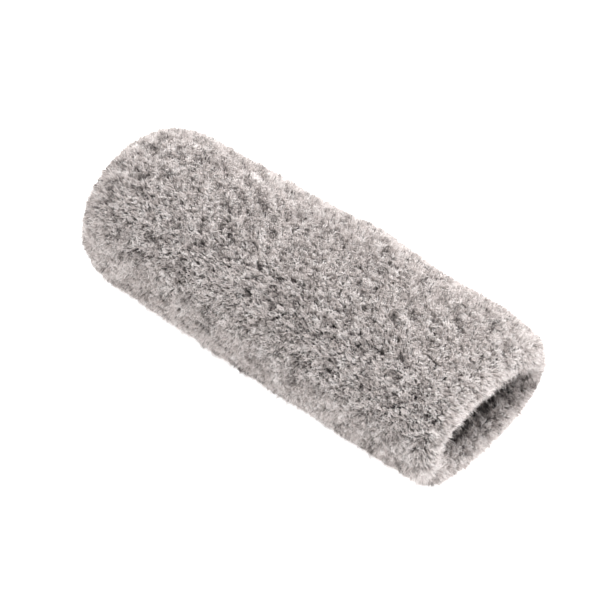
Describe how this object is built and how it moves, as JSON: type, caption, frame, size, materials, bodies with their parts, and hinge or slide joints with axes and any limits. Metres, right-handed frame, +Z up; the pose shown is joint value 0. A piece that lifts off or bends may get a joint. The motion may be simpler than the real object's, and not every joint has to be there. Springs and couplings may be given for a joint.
{
  "type": "furry windscreen",
  "caption": "Slip-over fur sock that keeps wind off a short shotgun microphone; closed at one end, elastic hem at the mouth.",
  "frame": {"origin": "middle of the footprint, on the surface that the empty cover lies on", "axes": "+X along the sock from its closed end towards its mouth, +Y across it, +Z up as it lies"},
  "size_m": [0.19, 0.0806, 0.061],
  "materials": {
    "pile": "dense cut acrylic plush, mottled warm light grey",
    "backing": "fine grey warp knit",
    "elastic": "flat ribbed braid",
    "thread": "spun polyester sewing thread"
  },
  "bodies": {
    "root": {"body_pile": "pile", "end_cap_pile": "pile", "body_backing": "backing", "end_cap_backing": "backing", "hem_elastic": "elastic", "body_seam_thread": "thread", "end_cap_seam_thread": "thread", "hem_thread": "thread"}
  },
  "joints": []
}
